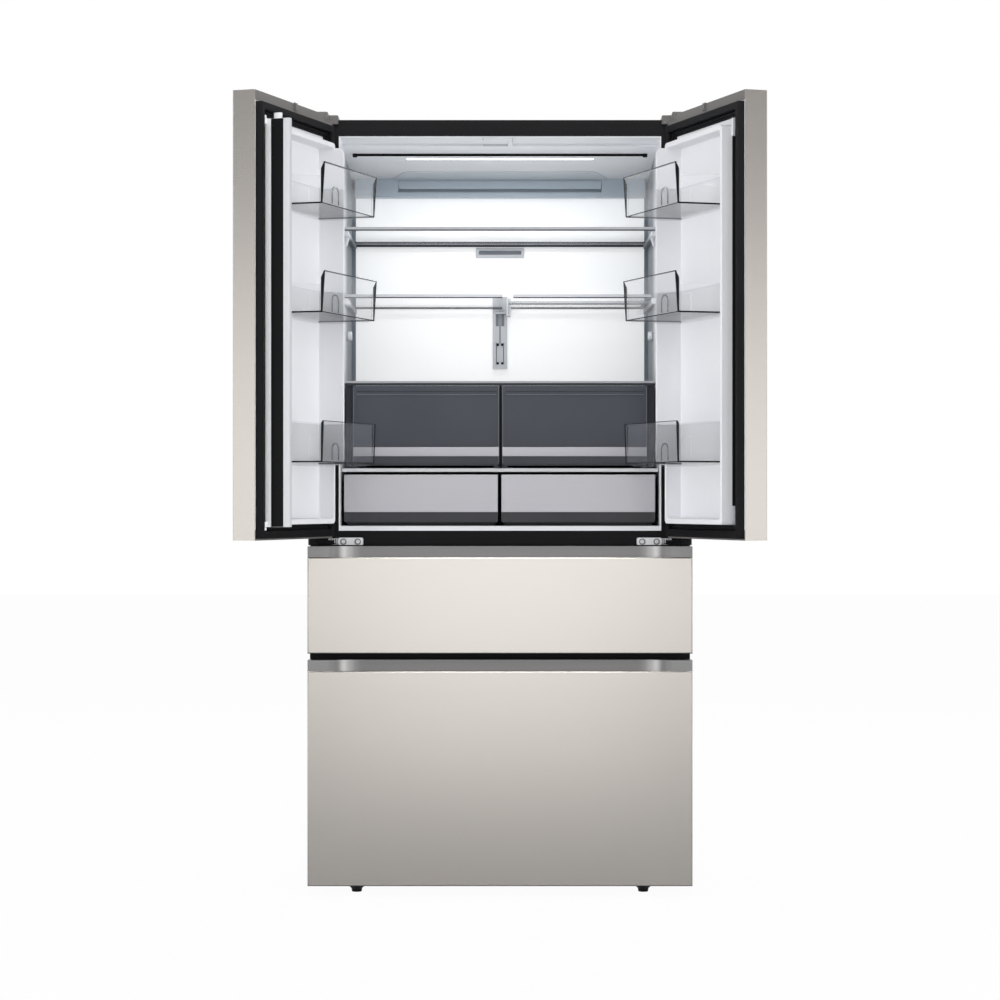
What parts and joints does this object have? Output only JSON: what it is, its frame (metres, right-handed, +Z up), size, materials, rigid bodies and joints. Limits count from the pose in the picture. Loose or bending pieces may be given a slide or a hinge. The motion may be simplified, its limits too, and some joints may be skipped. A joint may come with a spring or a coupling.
{
  "type": "convertible drawer refrigerator",
  "caption": "Free-standing French-door refrigerator with a convertible middle drawer and a lower freezer drawer, doors open on shelves, crispers and bins.",
  "frame": {"origin": "on the floor under the middle of the object's bounds as it stands with both doors open", "axes": "+Z up, -Y towards the person at its front, +X to that person's right"},
  "size_m": [1.1844, 1.1225, 1.86],
  "materials": {
    "satin_skin": "satin metal",
    "grip_metal": "satin",
    "cap_grey": "fine grain",
    "seal_black": "soft",
    "case_paint": "painted sheet",
    "frame_black": "black",
    "liner_white": "moulded",
    "foamed_white": "moulded liner on foam",
    "foam": "foam",
    "panel_white": "lit",
    "duct_grey": "moulded",
    "lamp_lens": "lens",
    "shelf_glass": "clear",
    "trim_grey": "satin",
    "slate": "smoked",
    "clear_bin": "clear",
    "hinge_steel": "plated",
    "basket": "moulded",
    "coil": "finned",
    "black_plastic": "moulded"
  },
  "bodies": {
    "cabinet": {"air_duct": "duct_grey", "base_frame": "frame_black", "cabinet_foam": "foam", "cabinet_rails": "hinge_steel", "ceiling_lamp": "lamp_lens", "compressor": "frame_black", "condenser": "coil", "control_box": "black_plastic", "door_hinges": "hinge_steel", "drawer_liners": "liner_white", "evaporator": "coil", "filter_grille": "duct_grey", "flap_guide": "liner_white", "fridge_liner": "liner_white", "front_frame": "frame_black", "glass_shelves": "shelf_glass", "hinge_screws": "hinge_steel", "light_panel": "panel_white", "outer_case": "case_paint", "rear_panels": "case_paint", "shelf_brackets": "liner_white", "shelf_column": "duct_grey", "shelf_trims": "trim_grey", "storage_frame": "slate", "top_hinge_covers": "cap_grey"},
    "left_door": {"left_door_bins": "clear_bin", "left_door_caps": "cap_grey", "left_door_gasket": "seal_black", "left_door_liner": "foamed_white", "left_door_skin": "satin_skin"},
    "right_door": {"right_door_bins": "clear_bin", "right_door_caps": "cap_grey", "right_door_gasket": "seal_black", "right_door_liner": "foamed_white", "right_door_skin": "satin_skin"},
    "flap": {"flap_housing": "liner_white", "flap_face": "frame_black"},
    "middle_drawer": {"middle_drawer_box": "basket", "middle_drawer_front": "satin_skin", "middle_drawer_gasket": "seal_black", "middle_drawer_grip": "grip_metal", "middle_drawer_inner": "foamed_white"},
    "freezer_drawer": {"freezer_drawer_box": "basket", "freezer_drawer_front": "satin_skin", "freezer_drawer_gasket": "seal_black", "freezer_drawer_grip": "grip_metal", "freezer_drawer_inner": "foamed_white"},
    "middle_slides": {"middle_slides": "hinge_steel"},
    "freezer_slides": {"freezer_slides": "hinge_steel"},
    "freezer_tray": {"freezer_tray": "basket"},
    "left_crisper": {"left_crisper": "slate"},
    "right_crisper": {"right_crisper": "slate"},
    "left_pantry": {"left_pantry": "slate"},
    "right_pantry": {"right_pantry": "slate"},
    "slide_shelf": {"slide_shelf": "shelf_glass"},
    "evaporator_fan": {"evaporator_fan": "black_plastic"},
    "condenser_fan": {"condenser_fan": "black_plastic"},
    "rear_rollers": {"rear_rollers": "seal_black"},
    "left_foot": {"left_foot": "black_plastic"},
    "right_foot": {"right_foot": "black_plastic"}
  },
  "joints": [
    {"name": "left_door_swing", "type": "hinge", "parent": "cabinet", "child": "left_door", "pos_m": [-0.444, -0.127, 0.86], "axis": [0, 0, -1], "range_deg": [-108.4, 0]},
    {"name": "right_door_swing", "type": "hinge", "parent": "cabinet", "child": "right_door", "pos_m": [0.444, -0.127, 0.86], "axis": [0, 0, 1], "range_deg": [-108.4, 0]},
    {"name": "flap_fold", "type": "hinge", "parent": "left_door", "child": "flap", "pos_m": [-0.52186, -0.53925, 0.876], "axis": [0, 0, 1], "range_deg": [-90.1, 0.1]},
    {"name": "middle_drawer_slide", "type": "slide", "parent": "cabinet", "child": "middle_drawer", "axis": [0, -1, 0], "range_m": [0, 0.42]},
    {"name": "middle_rail_slide", "type": "slide", "parent": "cabinet", "child": "middle_slides", "axis": [0, -1, 0], "range_m": [0, 0.21]},
    {"name": "freezer_drawer_slide", "type": "slide", "parent": "cabinet", "child": "freezer_drawer", "axis": [0, -1, 0], "range_m": [0, 0.36]},
    {"name": "freezer_rail_slide", "type": "slide", "parent": "cabinet", "child": "freezer_slides", "axis": [0, -1, 0], "range_m": [0, 0.18]},
    {"name": "freezer_tray_slide", "type": "slide", "parent": "freezer_drawer", "child": "freezer_tray", "axis": [0, 1, 0], "range_m": [0, 0.1]},
    {"name": "left_crisper_slide", "type": "slide", "parent": "cabinet", "child": "left_crisper", "axis": [0, -1, 0], "range_m": [0, 0.27]},
    {"name": "right_crisper_slide", "type": "slide", "parent": "cabinet", "child": "right_crisper", "axis": [0, -1, 0], "range_m": [0, 0.27]},
    {"name": "left_pantry_slide", "type": "slide", "parent": "cabinet", "child": "left_pantry", "axis": [0, -1, 0], "range_m": [0, 0.22]},
    {"name": "right_pantry_slide", "type": "slide", "parent": "cabinet", "child": "right_pantry", "axis": [0, -1, 0], "range_m": [0, 0.22]},
    {"name": "half_shelf_slide", "type": "slide", "parent": "cabinet", "child": "slide_shelf", "axis": [0, 1, 0], "range_m": [0, 0.16]},
    {"name": "evaporator_fan_spin", "type": "hinge", "parent": "cabinet", "child": "evaporator_fan", "pos_m": [0, 0.422, 0.45], "axis": [0, 1, 0], "continuous": true},
    {"name": "condenser_fan_spin", "type": "hinge", "parent": "cabinet", "child": "condenser_fan", "pos_m": [-0.05, 0.443, 0.13], "axis": [1, 0, 0], "continuous": true},
    {"name": "rear_roller_turn", "type": "hinge", "parent": "cabinet", "child": "rear_rollers", "pos_m": [0.4, 0.483, 0.022], "axis": [1, 0, 0], "continuous": true},
    {"name": "left_foot_turn", "type": "hinge", "parent": "cabinet", "child": "left_foot", "pos_m": [-0.344, -0.045, 0.045], "axis": [0, 0, 1], "continuous": true},
    {"name": "right_foot_turn", "type": "hinge", "parent": "cabinet", "child": "right_foot", "pos_m": [0.344, -0.045, 0.045], "axis": [0, 0, 1], "continuous": true}
  ],
  "couplings": [
    {"joint": "flap_fold", "follows": "left_door_swing", "ratio": 0.83026},
    {"joint": "middle_rail_slide", "follows": "middle_drawer_slide", "ratio": 0.5},
    {"joint": "freezer_rail_slide", "follows": "freezer_drawer_slide", "ratio": 0.5}
  ]
}
